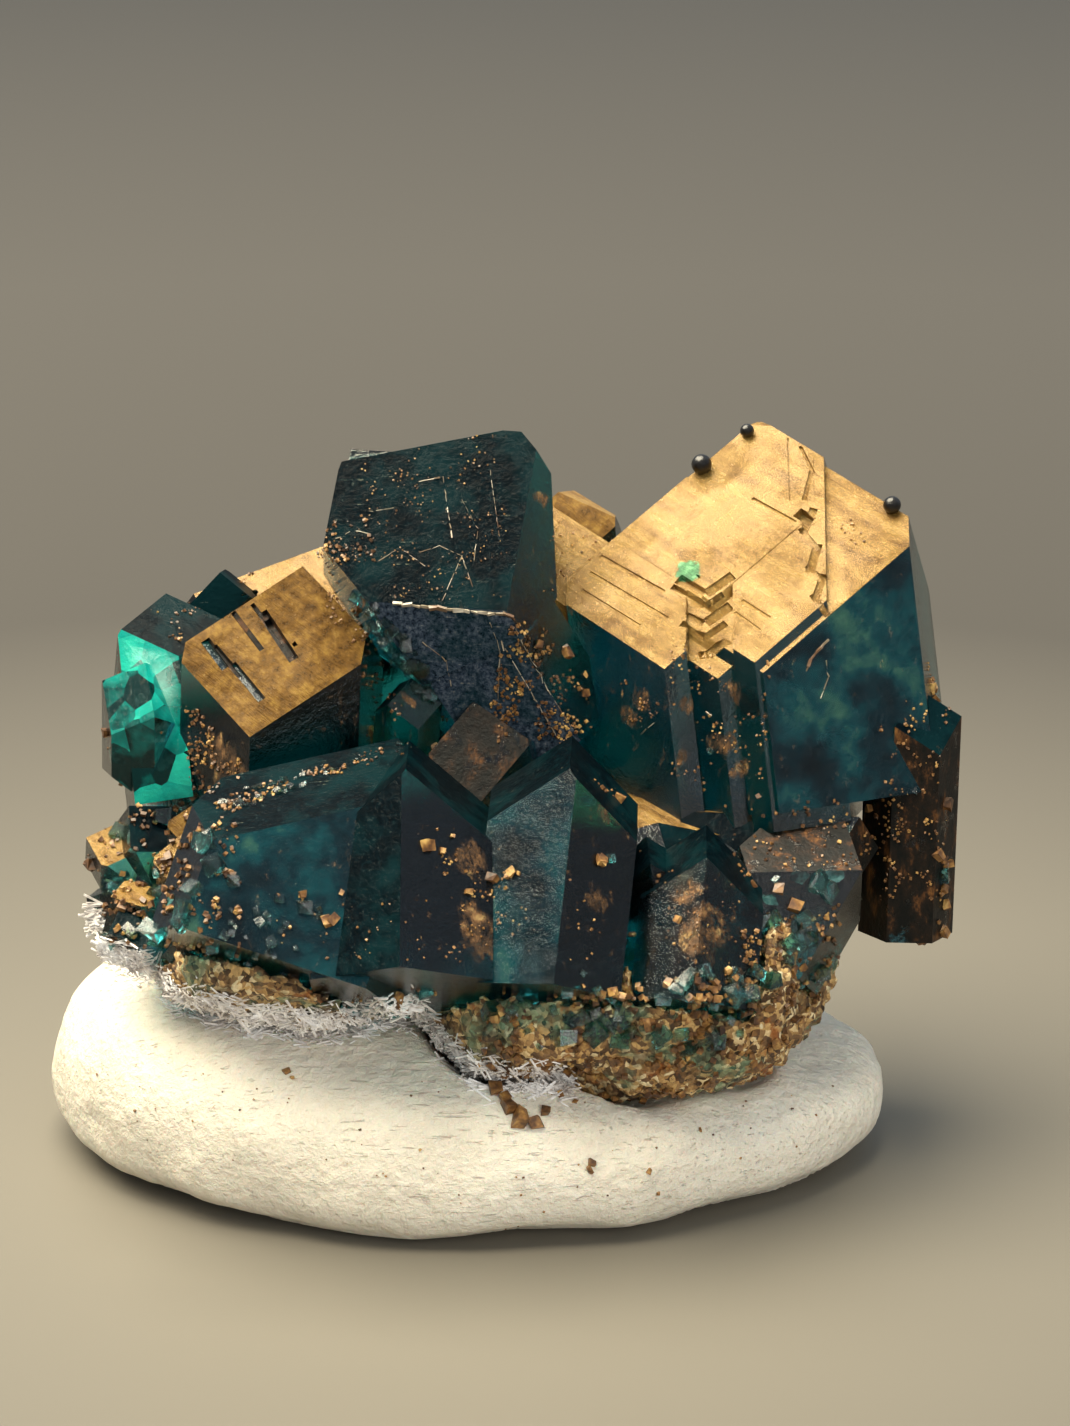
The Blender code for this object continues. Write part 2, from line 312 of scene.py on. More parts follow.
# Where each wedge starts and ends in the picture, its width, depth and tilt.
# The hole and the ragged step at the right of the large gold face:
HOLE_AND_STEP = [
    ((797, 512), (812, 522), 0.34, 0.30, 0.0), ((800, 446), (814, 474), 0.10, 0.07, 0.3),
    ((812, 470), (804, 500), 0.14, 0.08, 0.3), ((814, 508), (803, 534), 0.20, 0.12, 0.25),
    ((800, 528), (817, 548), 0.16, 0.14, -0.2), ((818, 544), (810, 572), 0.26, 0.11, 0.3),
    ((806, 566), (824, 580), 0.14, 0.09, -0.2), ((824, 574), (815, 600), 0.22, 0.13, 0.3),
    ((812, 594), (828, 616), 0.18, 0.10, -0.3), ((788, 438), (790, 500), 0.06, 0.05, 0.0),
    ((752, 498), (796, 522), 0.10, 0.05, 0.2),
]
# Gouges across the gold-topped crystal at the left, their walls darkened by painted shade:
DARK_GOUGES = [
    ((244, 592), (272, 628), 0.20, 0.10, 0.45), ((262, 612), (294, 660), 0.28, 0.12, 0.35),
    ((252, 604), (280, 640), 0.12, 0.13, -0.3), ((254, 590), (296, 646), 0.12, 0.08, -0.35),
    ((214, 646), (240, 676), 0.16, 0.09, 0.45), ((232, 664), (262, 700), 0.22, 0.08, 0.35),
    ((233, 612), (262, 650), 0.14, 0.07, -0.4), ((205, 640), (226, 668), 0.24, 0.09, 0.5),
]
cutters = []
for start, end, width, depth, tilt in HOLE_AND_STEP + DARK_GOUGES:
    groove(cutters, start, end, width, depth, tilt)

# Growth lines, the deepest few of them as real steps
GROWTH_LINES = [
    ((618, 532), (700, 578), 0.10), ((600, 556), (664, 592), 0.14), ((590, 572), (668, 618), 0.08),
    ((646, 508), (742, 562), 0.12), ((660, 498), (770, 560), 0.06), ((632, 520), (690, 552), 0.08),
    ((582, 590), (640, 626), 0.10), ((742, 600), (770, 618), 0.10), ((735, 612), (760, 630), 0.08),
]
for start, end, width in GROWTH_LINES:
    groove(cutters, start, end, width, 0.03, 0.25)

# The stepped notch: one chevron below another, each a pair of tilted cuts
NOTCH_STEPS = [
    (0, 24, 27, 0.30), (12, 30, 17, 0.18), (29, 15, 25, 0.32), (43, 21, 20, 0.20),
    (61, 17, 27, 0.26),
]
for drop, left, right, width in NOTCH_STEPS:
    groove(cutters, (702 - left, 594 + drop - left * 0.65), (704, 594 + drop), width, 0.11, 0.35)
    groove(cutters, (706, 594 + drop), (706 + right, 594 + drop - right * 0.7), width, 0.11, -0.35)


def carve(bm, cutters):
    """Cuts the blocks out of the crystals with one exact Boolean."""
    body = bpy.data.objects.new("carve_body", bpy.data.meshes.new("carve_body"))
    bm.to_mesh(body.data)
    bm.free()
    bpy.context.scene.collection.objects.link(body)
    blocks = bpy.data.collections.new("carve_blocks")
    bpy.context.scene.collection.children.link(blocks)
    for number, cutter in enumerate(cutters):
        block = bpy.data.objects.new(f"block_{number}", bpy.data.meshes.new(f"block_{number}"))
        cutter.to_mesh(block.data)
        cutter.free()
        blocks.objects.link(block)
    cutting = body.modifiers.new("carve", "BOOLEAN")
    cutting.operation = "DIFFERENCE"
    cutting.solver = "EXACT"
    cutting.operand_type = "COLLECTION"
    cutting.collection = blocks
    graph = bpy.context.evaluated_depsgraph_get()
    carved = bmesh.new()
    carved.from_mesh(body.evaluated_get(graph).to_mesh())
    for block in list(blocks.objects):
        bpy.data.objects.remove(block)
    bpy.data.collections.remove(blocks)
    bpy.data.objects.remove(body)
    return carved


carved = carve(crystal_bm.copy(), cutters)
print("faces before carving:", len(crystal_bm.faces), "after:", len(carved.faces))
crystal_bm.free()
crystal_bm = carved

EDGE_WEAR = 0.035
sharp = [
    edge
    for edge in crystal_bm.edges
    if len(edge.link_faces) == 2
    and edge.calc_face_angle_signed() > math.radians(14)
    and edge.calc_length() > 0.25
]
bmesh.ops.bevel(
    crystal_bm, geom=sharp, offset=EDGE_WEAR, offset_type="OFFSET", segments=1, profile=0.5,
    affect="EDGES", clamp_overlap=True, material=-1,
)
crystal_bm.normal_update()

# %% [markdown]
# ### A finish for each face
# Some faces are clear glass. The top faces carry a breath of iron oxide that tints their
# gloss, and a gold coat laid over them is a painted reflection of the warm light; faces
# turned like the large one at the left, and some upward faces behind, take a dimmer, browner
# painted gold. Others are dulled by dark dust or by pale powder, the column at the far right
# is crusted with iron, and the walls of the gouges at the left take the same dark coat as
# painted shade. Cracks under the skin make some faces hazy and let one crystal glow. Each
# face gets the number of its finish. A place of the picture names a face, and the faces
# that lie level with it follow.

# %% Sort the faces by finish
# The two gold finishes paint the reflection of the warm light on the top faces
CLEAR, PAINTED_GOLD, DIMMER_PAINTED_GOLD, DUSTED, POWDERED, CRUST_AND_GOUGE_SHADE, HAZY, GLOWING = range(8)
top_point, TOP_FACE = seen_at(650, 540)
left_point, LEFT_FACE = seen_at(300, 600)
# Small faces cut just below the large top face take the painted gold, and those cut into the left
# face take the dark crust as painted shade in the gouges
CUTS = [(top_point, TOP_FACE, 5.5, PAINTED_GOLD), (left_point, LEFT_FACE, 2.8, CRUST_AND_GOUGE_SHADE)]


def first_finish(face):
    """The finish of a face by the way it faces, or by the cut that it belongs to."""
    # Faces turned like the left face take the dimmer painted gold
    if face.normal.dot(LEFT_FACE) > 0.995:
        return DIMMER_PAINTED_GOLD
    middle = face.calc_center_median()
    for point, normal, reach, finish in CUTS:
        depth = (middle - point).dot(normal)
        if face.calc_area() < 1.2 and -0.9 < depth < 0.1 and (middle - point).length < reach:
            return finish
    faces_up = face.normal.dot(TOP_FACE) > 0.97 or face.normal.z > 0.945
    return PAINTED_GOLD if faces_up else CLEAR


for face in crystal_bm.faces:
    face.material_index = first_finish(face)

DUSTED_PLACES = [
    (430, 520), (345, 470), (330, 520), (440, 440), (275, 790), (340, 775), (385, 760), (375, 870),
    (388, 840), (128, 618), (165, 640), (188, 600), (215, 590), (150, 620),
]
POWDERED_PLACES = [(460, 665), (480, 700), (430, 640), (500, 700)]
CRUSTED_PLACES = [
    (930, 760), (918, 820), (940, 820), (900, 860), (915, 880), (938, 880), (874, 840), (874, 900),
    (800, 835), (850, 835), (474, 750),
]
GLOWING_PLACES = [
    (140, 730), (120, 750), (118, 720), (160, 700), (168, 745), (130, 780), (150, 775),
]
HAZY_PLACES = [(250, 860), (300, 860), (520, 880), (532, 850), (830, 730), (860, 700)]

crystal_bm.faces.ensure_lookup_table()
worn_tree = BVHTree.FromBMesh(crystal_bm)


def level_faces(x, y, bend=math.radians(5)):
    """The face seen at a place of the picture, with all that lie level with it."""
    hit = worn_tree.ray_cast(Vector(camera.location) / MM, sight_line(x, y))
    if hit[2] is None:
        return set()
    start = crystal_bm.faces[hit[2]]
    found, waiting = {start}, [start]
    while waiting:
        for edge in waiting.pop().edges:
            for other in edge.link_faces:
                if other not in found and other.normal.angle(start.normal, 3.0) < bend:
                    found.add(other)
                    waiting.append(other)
    return found


PLACES = {
    DUSTED: DUSTED_PLACES, POWDERED: POWDERED_PLACES, CRUST_AND_GOUGE_SHADE: CRUSTED_PLACES, HAZY: HAZY_PLACES,
    GLOWING: GLOWING_PLACES,
}
for finish, places in PLACES.items():
    for x, y in places:
        for face in level_faces(x, y):
            face.material_index = finish

# Faces behind or on top that no place of the picture names take their finish by lot
lot = random.Random(4)
for face in crystal_bm.faces:
    unnamed = face.normal.y > 0.1 or face.normal.z > 0.6
    if face.material_index == CLEAR and unnamed and face.calc_area() > 1.0:
        leans_up = face.normal.z > 0.3
        # Upward faces behind may take the dimmer painted gold
        choices = (DUSTED, DUSTED, DIMMER_PAINTED_GOLD) if leans_up else (CLEAR, CLEAR, CLEAR, HAZY)
        drawn = lot.choice(choices)
        face.material_index = drawn if face.normal.y > 0.1 else DUSTED
counts = [sum(face.material_index == finish for face in crystal_bm.faces) for finish in range(8)]
print("clear, painted_gold, worn, dusted, powdered, crusted_and_shaded, hazy, glowing faces:", counts)

# %% [markdown]
# ### Dioptase
# A copper silicate: glassy, with a high index of about 1.66, and so strongly coloured by
# its copper that a few millimetres swallow all red light. The colour therefore comes from
# absorption inside the body and not from the surface. On top lie growth lines, fine pits,
# iron stain in the hollows and a film of dust.

# %% Dioptase material
edge_start, _ = seen_at(580, 610)
edge_end, _ = seen_at(650, 655)
line_along = (edge_end - edge_start).normalized()
line_across = TOP_FACE.cross(line_along).normalized()

# How far noise shifts the edge of a stain, and how deep the pits are, in millimetres
RAGGED, PIT_DEPTH = 0.9, 0.06
# How fast the colour swallows light: in a large crystal, and in the tiny ones
BODY_DENSITY, SMALL_DENSITY = 1150.0, 4000.0
STAIN_SPOTS = [
    (640, 700, 0.75), (628, 716, 0.5), (690, 700, 0.7), (735, 690, 0.6), (720, 740, 0.7),
    (680, 760, 0.6), (745, 770, 0.7), (765, 720, 0.35), (490, 655, 0.4), (470, 860, 1.2),
    (480, 930, 1.5), (340, 925, 1.7), (300, 915, 1.2), (540, 930, 1.0), (600, 900, 0.8),
    (610, 810, 0.9), (705, 930, 1.6), (690, 890, 0.9), (780, 960, 1.2), (855, 520, 0.45),
    (540, 500, 0.5), (330, 550, 0.7), (230, 770, 1.2), (215, 745, 0.8), (410, 700, 0.5),
    (430, 690, 0.5),
]
stain_marks = [(seen_at(x, y)[0], radius) for x, y, radius in STAIN_SPOTS]
stain_marks = [(point, radius) for point, radius in stain_marks if point is not None]
print("stains on the crystals:", len(stain_marks))
SCRATCH_TURNS = [(0.0, 0.7, 0.2), (0.0, 1.35, 0.0), (0.0, -0.9, 0.3)]


def growth_lines(tree, place):
    """Noise drawn out along the growth lines of the top faces."""
    across, along = (
        add(
            tree, "VectorMath", {"operation": "DOT_PRODUCT", 1: tuple(way)}, {0: place}
        ).outputs["Value"]
        for way in (line_across, line_along)
    )
    line_place = add(
        tree, "CombineXYZ",
        links={
            "X": add(tree, "Math", {**TIMES, 1: 2.6}, {0: across}),
            "Y": add(tree, "Math", {**TIMES, 1: 0.3}, {0: along}),
        },
    ).outputs["Vector"]
    return add(
        tree, "TexNoise", {"Scale": 1.0, "Detail": 6.0, "Roughness": 0.75}, {"Vector": line_place}
    )


DARK_DUST = [(0.42, "#00060a"), (0.55, "#020d13"), (0.66, "#081e23"), (0.79, "#7c7660")]
PALE_DUST = [(0.38, "#111a25"), (0.50, "#323e4c"), (0.62, "#5a636e"), (0.76, "#aba088")]


def dusty_coat(tree, place, surface, bump, dust):
    """A thin coat of dust, teal where it is thinnest, crossed by hair-thin scratches."""
    dust_grain = add(
        tree, "TexNoise", {"Scale": 7.0, "Detail": 5.0, "Roughness": 0.8}, {"Vector": place}
    )
    for turn in SCRATCH_TURNS:
        stretched = add(
            tree, "Mapping", {"Rotation": turn, "Scale": (0.5, 11.0, 11.0)}, {"Vector": place}
        ).outputs["Vector"]
        scratch = patches(tree, stretched, (1.0, 1.0, 0.5), 0.73, 0.77)
        dust_grain = add(
            tree, "Math", PLUS,
            {0: dust_grain, 1: add(tree, "Math", {**TIMES, 1: 0.12}, {0: scratch})},
        )
    thin = patches(tree, place, (0.5, 3.0, 0.6), 0.56, 0.38)
    colour = tinted(
        tree, add(tree, "ValToRGB", {"stops": dust}, {"Fac": dust_grain}), "#06272b", thin, 0.6
    )
    return coat(tree, surface, 0.94, colour, 0.45, bump, 1.1)


def crust_and_shade_coat(tree, place, surface, bump):
    """Black and brown iron, drawn out lengthwise; on the gouge walls at the left it is painted
    shade.
    """
    drawn = add(tree, "Mapping", {"Scale": (1.0, 1.0, 0.45)}, {"Vector": place}).outputs["Vector"]
    mask = patches(tree, place, (1.6, 5.0, 0.7), 0.30, 0.45)
    colour = mottle(
        tree, drawn, (1.9, 5.0, 0.7),
        [(0.42, "#0a0b09"), (0.55, "#1c140e"), (0.63, "#4c3019"), (0.74, "#855a2d")],
    )
    return coat(tree, surface, mask, colour, 0.5, bump, 1.35)


def hazy_coat(tree, place, surface, bump):
    """Healed cracks close under the surface: a blue-green haze, paler in places."""
    drift = add(
        tree, "TexNoise", {"Scale": 0.55, "Detail": 5.0, "Roughness": 0.6}, {"Vector": place}
    )
    colour = add(
        tree, "ValToRGB",
        {"stops": [(0.34, "#010d13"), (0.46, "#03222b"), (0.58, "#063f47"), (0.72, "#3f6a58")]},
        {"Fac": drift},
    )
    return coat(tree, surface, 0.65, colour, 0.4, bump, 1.2)


def glowing_coat(tree, place, surface, bump):
    """A net of cracks right under the surface, which throws the light back turquoise."""
    facets = add(
        tree, "TexVoronoi", {"feature": "F1", "Scale": 1.3}, {"Vector": place}
    ).outputs["Color"]
    pick = add(tree, "SeparateColor", links={0: facets}).outputs[0]
    glow = layered(
        tree,
        [
            (pick, 0.55),
            (
                add(
                    tree, "TexNoise", {"Scale": 1.6, "Detail": 4.0, "Roughness": 0.5},
                    {"Vector": place},
                ),
                0.45,
            ),
        ],
    )
    colour = add(
        tree, "ValToRGB",
        {"stops": [(0.34, "#012626"), (0.46, "#046d66"), (0.60, "#0a9a8e"), (0.72, "#22b8a2")]},
        {"Fac": glow},
    )
    return coat(tree, surface, 0.78, colour, 0.3, bump, 1.25)


def painted_gold_coat(tree, place, surface, bump, lines, dimmer):
    """A painted reflection of the warm light in gold over the oxide, part see-through, paler and
    darker along the growth lines.

    A mint green speck of weathered copper lies at the head of the notch.
    """
    mottle = add(
        tree, "TexNoise", {"Scale": 2.4, "Detail": 5.0, "Roughness": 0.7}, {"Vector": place}
    )
    share = 0.25 if dimmer else 0.6
    tone = layered(tree, [(lines, share), (mottle, 1 - share)])
    # The dimmer faces take a browner, nearly opaque painted gold
    if dimmer:
        stops = [(0.36, "#3a260e"), (0.50, "#60441d"), (0.64, "#84662f")]
        return coat(
            tree, surface, 0.88, add(tree, "ValToRGB", {"stops": stops}, {"Fac": tone}), 0.35, bump,
            1.15,
        )
    # Gold tones of the painted reflection of the warm soft light, half see-through
    stops = [(0.36, "#5f3f1a"), (0.44, "#936a2f"), (0.50, "#b18845"), (0.62, "#c8a35c")]
    surface = coat(
        tree, surface, 0.5, add(tree, "ValToRGB", {"stops": stops}, {"Fac": tone}), 0.3, bump, 1.4
    )
    mint = spots(tree, place, [(seen_at(688, 572)[0], 0.62)])
    mint = add(
        tree, "MapRange", {**SOFT, "From Min": 0.74, "From Max": 0.9},
        {
            "Value": add(
                tree, "Math", PLUS, {0: add(tree, "Math", {**TIMES, 1: 0.5}, {0: mint}), 1: mottle}
            ),
        },
    )
    mint_colour = add(
        tree, "ValToRGB", {"stops": [(0.4, "#24492c"), (0.55, "#3f7a4c"), (0.65, "#6aa06f")]},
        {"Fac": mottle},
    )
    return coat(tree, surface, mint, mint_colour, 0.6, bump)


def dioptase_material(name, finish=CLEAR, density=BODY_DENSITY, gloss=0.05):
    """Dioptase with one of the eight finishes. All of them absorb alike inside."""
    material, tree, output, place = new_material(name)

    # Pits and a faint unevenness, too small to see one by one
    pits = add(
        tree, "TexVoronoi",
        {"feature": "SMOOTH_F1", "Scale": 2.6, "Randomness": 1.0, "Smoothness": 0.4},
        {"Vector": place},
    ).outputs["Distance"]
    fine = add(tree, "TexNoise", {"Scale": 9.0, "Detail": 4.0, "Roughness": 0.6}, {"Vector": place})
    broad = add(
        tree, "TexNoise", {"Scale": 0.55, "Detail": 2.0, "Roughness": 0.5}, {"Vector": place}
    )
    layers = [(pits, 0.25), (fine, 0.5), (broad, 0.6)]
    takes_painted_gold = finish in (PAINTED_GOLD, DIMMER_PAINTED_GOLD)
    if takes_painted_gold:
        lines = growth_lines(tree, place)
        where_lined = patches(tree, place, (0.42, 2.0, 0.5), 0.40, 0.6)
        lines_here = add(
            tree, "Math", TIMES,
            {0: lines, 1: add(tree, "Math", {**PLUS, 0: 0.3}, {1: where_lined})},
        )
        chips = add(
            tree, "TexVoronoi", {"feature": "F1", "Scale": 1.7, "Randomness": 1.0},
            {"Vector": place},
        ).outputs["Distance"]
        layers += [(lines_here, 2.6), (chips, 0.5)]
    bump = add(
        tree, "Bump", {"Strength": 0.7, "Distance": PIT_DEPTH * MM},
        {"Height": layered(tree, layers)},
    ).outputs["Normal"]

    settings = {"Base Color": linear("#f2fffc"), "IOR": 1.66, "Transmission Weight": 1.0}
    settings["Specular IOR Level"] = 0.22
    if takes_painted_gold:
        settings |= {"Specular Tint": linear("#ffd184"), "Specular IOR Level": 1.0}
        gloss += 0.17
    rough = add(
        tree, "Math", {**PLUS, 0: gloss}, {1: add(tree, "Math", {**TIMES, 1: 0.08}, {0: fine})}
    )
    surface = add(tree, "BsdfPrincipled", settings, {"Roughness": rough, "Normal": bump}).outputs[0]

    # The painted gold reflection goes over the top faces
    if takes_painted_gold:
        surface = painted_gold_coat(tree, place, surface, bump, lines, finish == DIMMER_PAINTED_GOLD)
    else:
        # Iron stain: dull, in patches that are ragged and drawn out lengthwise
        drawn = add(
            tree, "Mapping", {"Scale": (1.0, 1.0, 0.45)}, {"Vector": place}
        ).outputs["Vector"]
        crumbs = add(
            tree, "TexNoise", {"Scale": 3.4, "Detail": 6.0, "Roughness": 0.8}, {"Vector": drawn}
        )
        mask = add(
            tree, "MapRange", {**SOFT, "From Min": 0.60, "From Max": 0.68}, {"Value": crumbs}
        )
        if finish == CLEAR and density == BODY_DENSITY:
            rag = add(tree, "TexNoise", {"Scale": 1.3, "Detail": 2.0}, {"Vector": drawn})
            ragged = add(
                tree, "VectorMath", {"operation": "MULTIPLY_ADD", 1: (RAGGED,) * 3},
                {0: rag.outputs[1], 2: place},
            ).outputs["Vector"]
            shift = Vector((0.5, 0.5, 0.5)) * RAGGED
            near = spots(tree, ragged, [(point + shift, radius) for point, radius in stain_marks])
            near = add(tree, "Math", {**TIMES, 1: 0.5}, {0: near})
            mask = add(tree, "Math", {**TIMES, 1: 0.7}, {0: mask})
            mask = add(
                tree, "Math", LARGER,
                {
                    0: mask,
                    1: add(
                        tree, "MapRange", {**SOFT, "From Min": 0.86, "From Max": 1.1},
                        {"Value": add(tree, "Math", PLUS, {0: near, 1: crumbs})},
                    ),
                },
            )
        stain_colour = mottle(
            tree, place, (2.2, 4.0, 0.6),
            [(0.3, "#231910"), (0.45, "#4a3521"), (0.58, "#765535"), (0.7, "#a88a58")],
        )
        surface = coat(tree, surface, mask, stain_colour, 0.7, bump)
    if finish in (DUSTED, POWDERED):
        dust = DARK_DUST if finish == DUSTED else PALE_DUST
        surface = dusty_coat(tree, place, surface, bump, dust)
    # Iron crust, and painted shade on the gouge walls
    if finish == CRUST_AND_GOUGE_SHADE:
        surface = crust_and_shade_coat(tree, place, surface, bump)
    if finish == HAZY:
        surface = hazy_coat(tree, place, surface, bump)
    if finish == GLOWING:
        surface = glowing_coat(tree, place, surface, bump)
    colour_inside = add(
        tree, "VolumeAbsorption", {"Color": (0.0, 0.745, 0.775, 1.0), "Density": density}
    )
    tree.links.new(surface, output.inputs["Surface"])
    tree.links.new(colour_inside.outputs[0], output.inputs["Volume"])
    return material


# The second and third finishes carry the painted gold reflection
FINISH_NAMES = [
    "dioptase", "painted_gold dioptase", "worn painted_gold dioptase", "dusty dioptase", "powdered dioptase",
    "crusted_and_shaded dioptase", "hazy dioptase", "cracked dioptase",
]
finishes = [dioptase_material(name, finish) for finish, name in enumerate(FINISH_NAMES)]
crystals_now = crystal_bm.copy()
piece("dioptase_crystals", crystal_bm, finishes, "crystals")

# %% [markdown]
# ## The rock
# Limonite is crumbly iron rock: brown grains, ochre dust and tiny green crystals packed
# together. The copy is turned into a fine, even net of small faces and its points are
# pushed in and out by noise, so the rough outline is real and not only painted on.


# %% Fine net and relief
def fine_net(bm, spacing, rounds):
    """Rebuilds a closed surface as an even net of small squares, smoothed in rounds."""
    mesh = bpy.data.meshes.new("net")
    bm.to_mesh(mesh)
    bm.free()
    item = bpy.data.objects.new("net", mesh)
    bpy.context.scene.collection.objects.link(item)
    remesh = item.modifiers.new("net", "REMESH")
    remesh.mode = "VOXEL"
    remesh.voxel_size = spacing
    graph = bpy.context.evaluated_depsgraph_get()
    found = bmesh.new()
    found.from_mesh(item.evaluated_get(graph).to_mesh())
    bpy.data.objects.remove(item)
    every_way = {"use_axis_x": True, "use_axis_y": True, "use_axis_z": True}
    for _ in range(rounds):
        bmesh.ops.smooth_vert(found, verts=found.verts, factor=0.5, **every_way)
    found.normal_update()
    return found


def inside_solid(place, low, high, room=0.02):
    """Keeps a point inside the box of the solids."""
    return Vector(
        min(max(value, a / MM + room), b / MM - room) for value, a, b in zip(place, low, high)
    )


ROCK_NET, PUTTY_NET = 0.16, 0.22
rock_bm = fine_net(solid_copy("matrix", flatten=False), ROCK_NET, 1)
rock_low, rock_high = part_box("matrix")
for vert in rock_bm.verts:
    cell = noise.voronoi(vert.co * 2.1)[0]
    rise = 0.30 * (cell[1] - cell[0]) - 0.16 + 0.12 * noise.noise(vert.co * 4.0)
    vert.co = inside_solid(vert.co + vert.normal * min(rise, 0.09), rock_low, rock_high)
rock_tree = BVHTree.FromBMesh(rock_bm)
rock_now = rock_bm.copy()


# %% [markdown]
# ### Limonite rock
# Dull ochre and dark brown grains of a third of a millimetre, some of them green. Grains
# differ in colour from one to the next, which a cell pattern gives, and rust spreads over
# them in larger patches.


# %% Rock material
def rock_material():
    """Grains that differ in colour, with green, rusty and dark patches over them."""
    material, tree, output, place = new_material("limonite rock")
    shake = add(tree, "TexNoise", {"Scale": 3.0, "Detail": 3.0}, {"Vector": place})
    loose = add(
        tree, "VectorMath", {"operation": "MULTIPLY_ADD", 1: (0.35, 0.35, 0.35)},
        {0: shake.outputs[1], 2: place},
    ).outputs["Vector"]
    cells = add(
        tree, "TexVoronoi", {"feature": "F1", "Scale": 6.0, "Randomness": 1.0}, {"Vector": loose}
    )
    pick = add(tree, "SeparateColor", links={0: cells.outputs["Color"]})
    body = add(
        tree, "ValToRGB",
        {
            "stops": [
                (0.0, "#443425"), (0.3, "#846343"), (0.55, "#b8905c"), (0.78, "#dfb778"),
                (0.93, "#f8e3b4"),
            ],
        },
        {"Fac": pick.outputs[0]},
    )
    green = add(
        tree, "ValToRGB", {"stops": [(0.0, "#1f473b"), (0.5, "#4f8069"), (1.0, "#a3b88f")]},
        {"Fac": pick.outputs[1]},
    )
    where_green = patches(tree, place, (0.5, 3.0, 0.6), 0.52, 0.62)
    colour = add(
        tree, "Mix", {"data_type": "RGBA"},
        {0: add(tree, "Math", {**TIMES, 1: 0.7}, {0: where_green}), 6: body, 7: green},
    ).outputs[2]
    rust = patches(tree, place, (0.9, 5.0, 0.65), 0.56, 0.68)
    colour = tinted(tree, colour, "#a8622a", rust, 0.75)
    dark = patches(tree, place, (0.7, 4.0, 0.6), 0.50, 0.62)
    colour = tinted(tree, colour, "#251c15", dark, 0.6)
    gritty = add(
        tree, "TexNoise", {"Scale": 7.0, "Detail": 5.0, "Roughness": 0.7}, {"Vector": place}
    )
    height = layered(tree, [(cells.outputs["Distance"], -0.7), (gritty, 0.8)])
    bump = add(
        tree, "Bump", {"Strength": 1.0, "Distance": 0.00012}, {"Height": height}
    ).outputs["Normal"]
    rough = add(
        tree, "Math", {**PLUS, 0: 0.35},
        {1: add(tree, "Math", {**TIMES, 1: 0.5}, {0: pick.outputs[2]})},
    )
    shader = add(
        tree, "BsdfPrincipled", {"IOR": 1.6},
        {"Base Color": colour, "Roughness": rough, "Normal": bump},
    )
    tree.links.new(shader.outputs[0], output.inputs["Surface"])
    return material


limonite = rock_material()
piece("limonite_rock", rock_bm, [limonite], "matrix", smooth=True)

# %% [markdown]
# ## The putty pad
# A pad of white tack, rolled by hand and pressed flat: soft round edges, shallow finger
# dents, and fine scratches where it was dragged. A fine net takes the dents, and the
# material adds the scratches.

# %% Putty
putty_bm = fine_net(solid_copy("putty", flatten=False), PUTTY_NET, 4)
putty_low, putty_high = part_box("putty")
for vert in putty_bm.verts:
    rise = 0.09 * noise.noise(vert.co * 0.55) + 0.03 * noise.noise(vert.co * 1.9) - 0.05
    if vert.co.z > 0.25:
        vert.co = inside_solid(vert.co + vert.normal * rise, putty_low, putty_high, 0.0)
putty_tree = BVHTree.FromBMesh(putty_bm)


def putty_material():
    """A warm white with drag marks and hair scratches in the relief."""
    material, tree, output, place = new_material("mounting putty")
    broad = add(
        tree, "TexNoise", {"Scale": 0.35, "Detail": 3.0, "Roughness": 0.5}, {"Vector": place}
    )
    fine = add(
        tree, "TexNoise", {"Scale": 3.2, "Detail": 5.0, "Roughness": 0.65}, {"Vector": place}
    )
    colour = add(
        tree, "ValToRGB", {"stops": [(0.35, "#d8d0bf"), (0.5, "#e4dccb"), (0.65, "#ece5d5")]},
        {"Fac": layered(tree, [(broad, 0.6), (fine, 0.4)])},
    )
    turned = add(
        tree, "Mapping", {"Rotation": (0.3, 0.5, 0.9), "Scale": (0.7, 9.0, 9.0)}, {"Vector": place}
    ).outputs["Vector"]
    drag = add(
        tree, "TexNoise", {"Scale": 1.0, "Detail": 3.0, "Roughness": 0.6}, {"Vector": turned}
    )
    crossed = add(
        tree, "Mapping", {"Rotation": (-0.2, 0.2, -0.7), "Scale": (0.9, 12.0, 12.0)},
        {"Vector": place},
    ).outputs["Vector"]
    hair = add(
        tree, "TexNoise", {"Scale": 1.0, "Detail": 2.0, "Roughness": 0.6}, {"Vector": crossed}
    )
    dragged, scratched = (
        add(tree, "MapRange", {**SOFT, "From Min": 0.64, "From Max": 0.72}, {"Value": drag}),
        add(tree, "MapRange", {**SOFT, "From Min": 0.66, "From Max": 0.72}, {"Value": hair}),
    )
    dents = add(
        tree, "TexNoise", {"Scale": 1.1, "Detail": 2.0, "Roughness": 0.5}, {"Vector": place}
    )
    height = layered(tree, [(dragged, -0.35), (scratched, -0.35), (fine, 0.9), (dents, 0.8)])
    bump = add(
        tree, "Bump", {"Strength": 1.0, "Distance": 0.00016}, {"Height": height}
    ).outputs["Normal"]
    shader = add(
        tree, "BsdfPrincipled",
        {"IOR": 1.5, "Roughness": 0.62, "Subsurface Weight": 0.15, "Subsurface Scale": 0.0004},
        {"Base Color": colour, "Normal": bump},
    )
    tree.links.new(shader.outputs[0], output.inputs["Surface"])
    return material


putty_white = putty_material()
piece("putty_pad", putty_bm, [putty_white], "putty", smooth=True)

# %% [markdown]
# ## Grains, specks and small crystals
# Between the crystals sit ochre grains of iron rock and tiny green crystals, too many to
# place by hand. They are sown inside outlines of the picture: each grain falls on whatever
# surface the eye meets there and is sunk a little into it. The sides that the picture
# doesn't show are sown too, at random places of their faces.

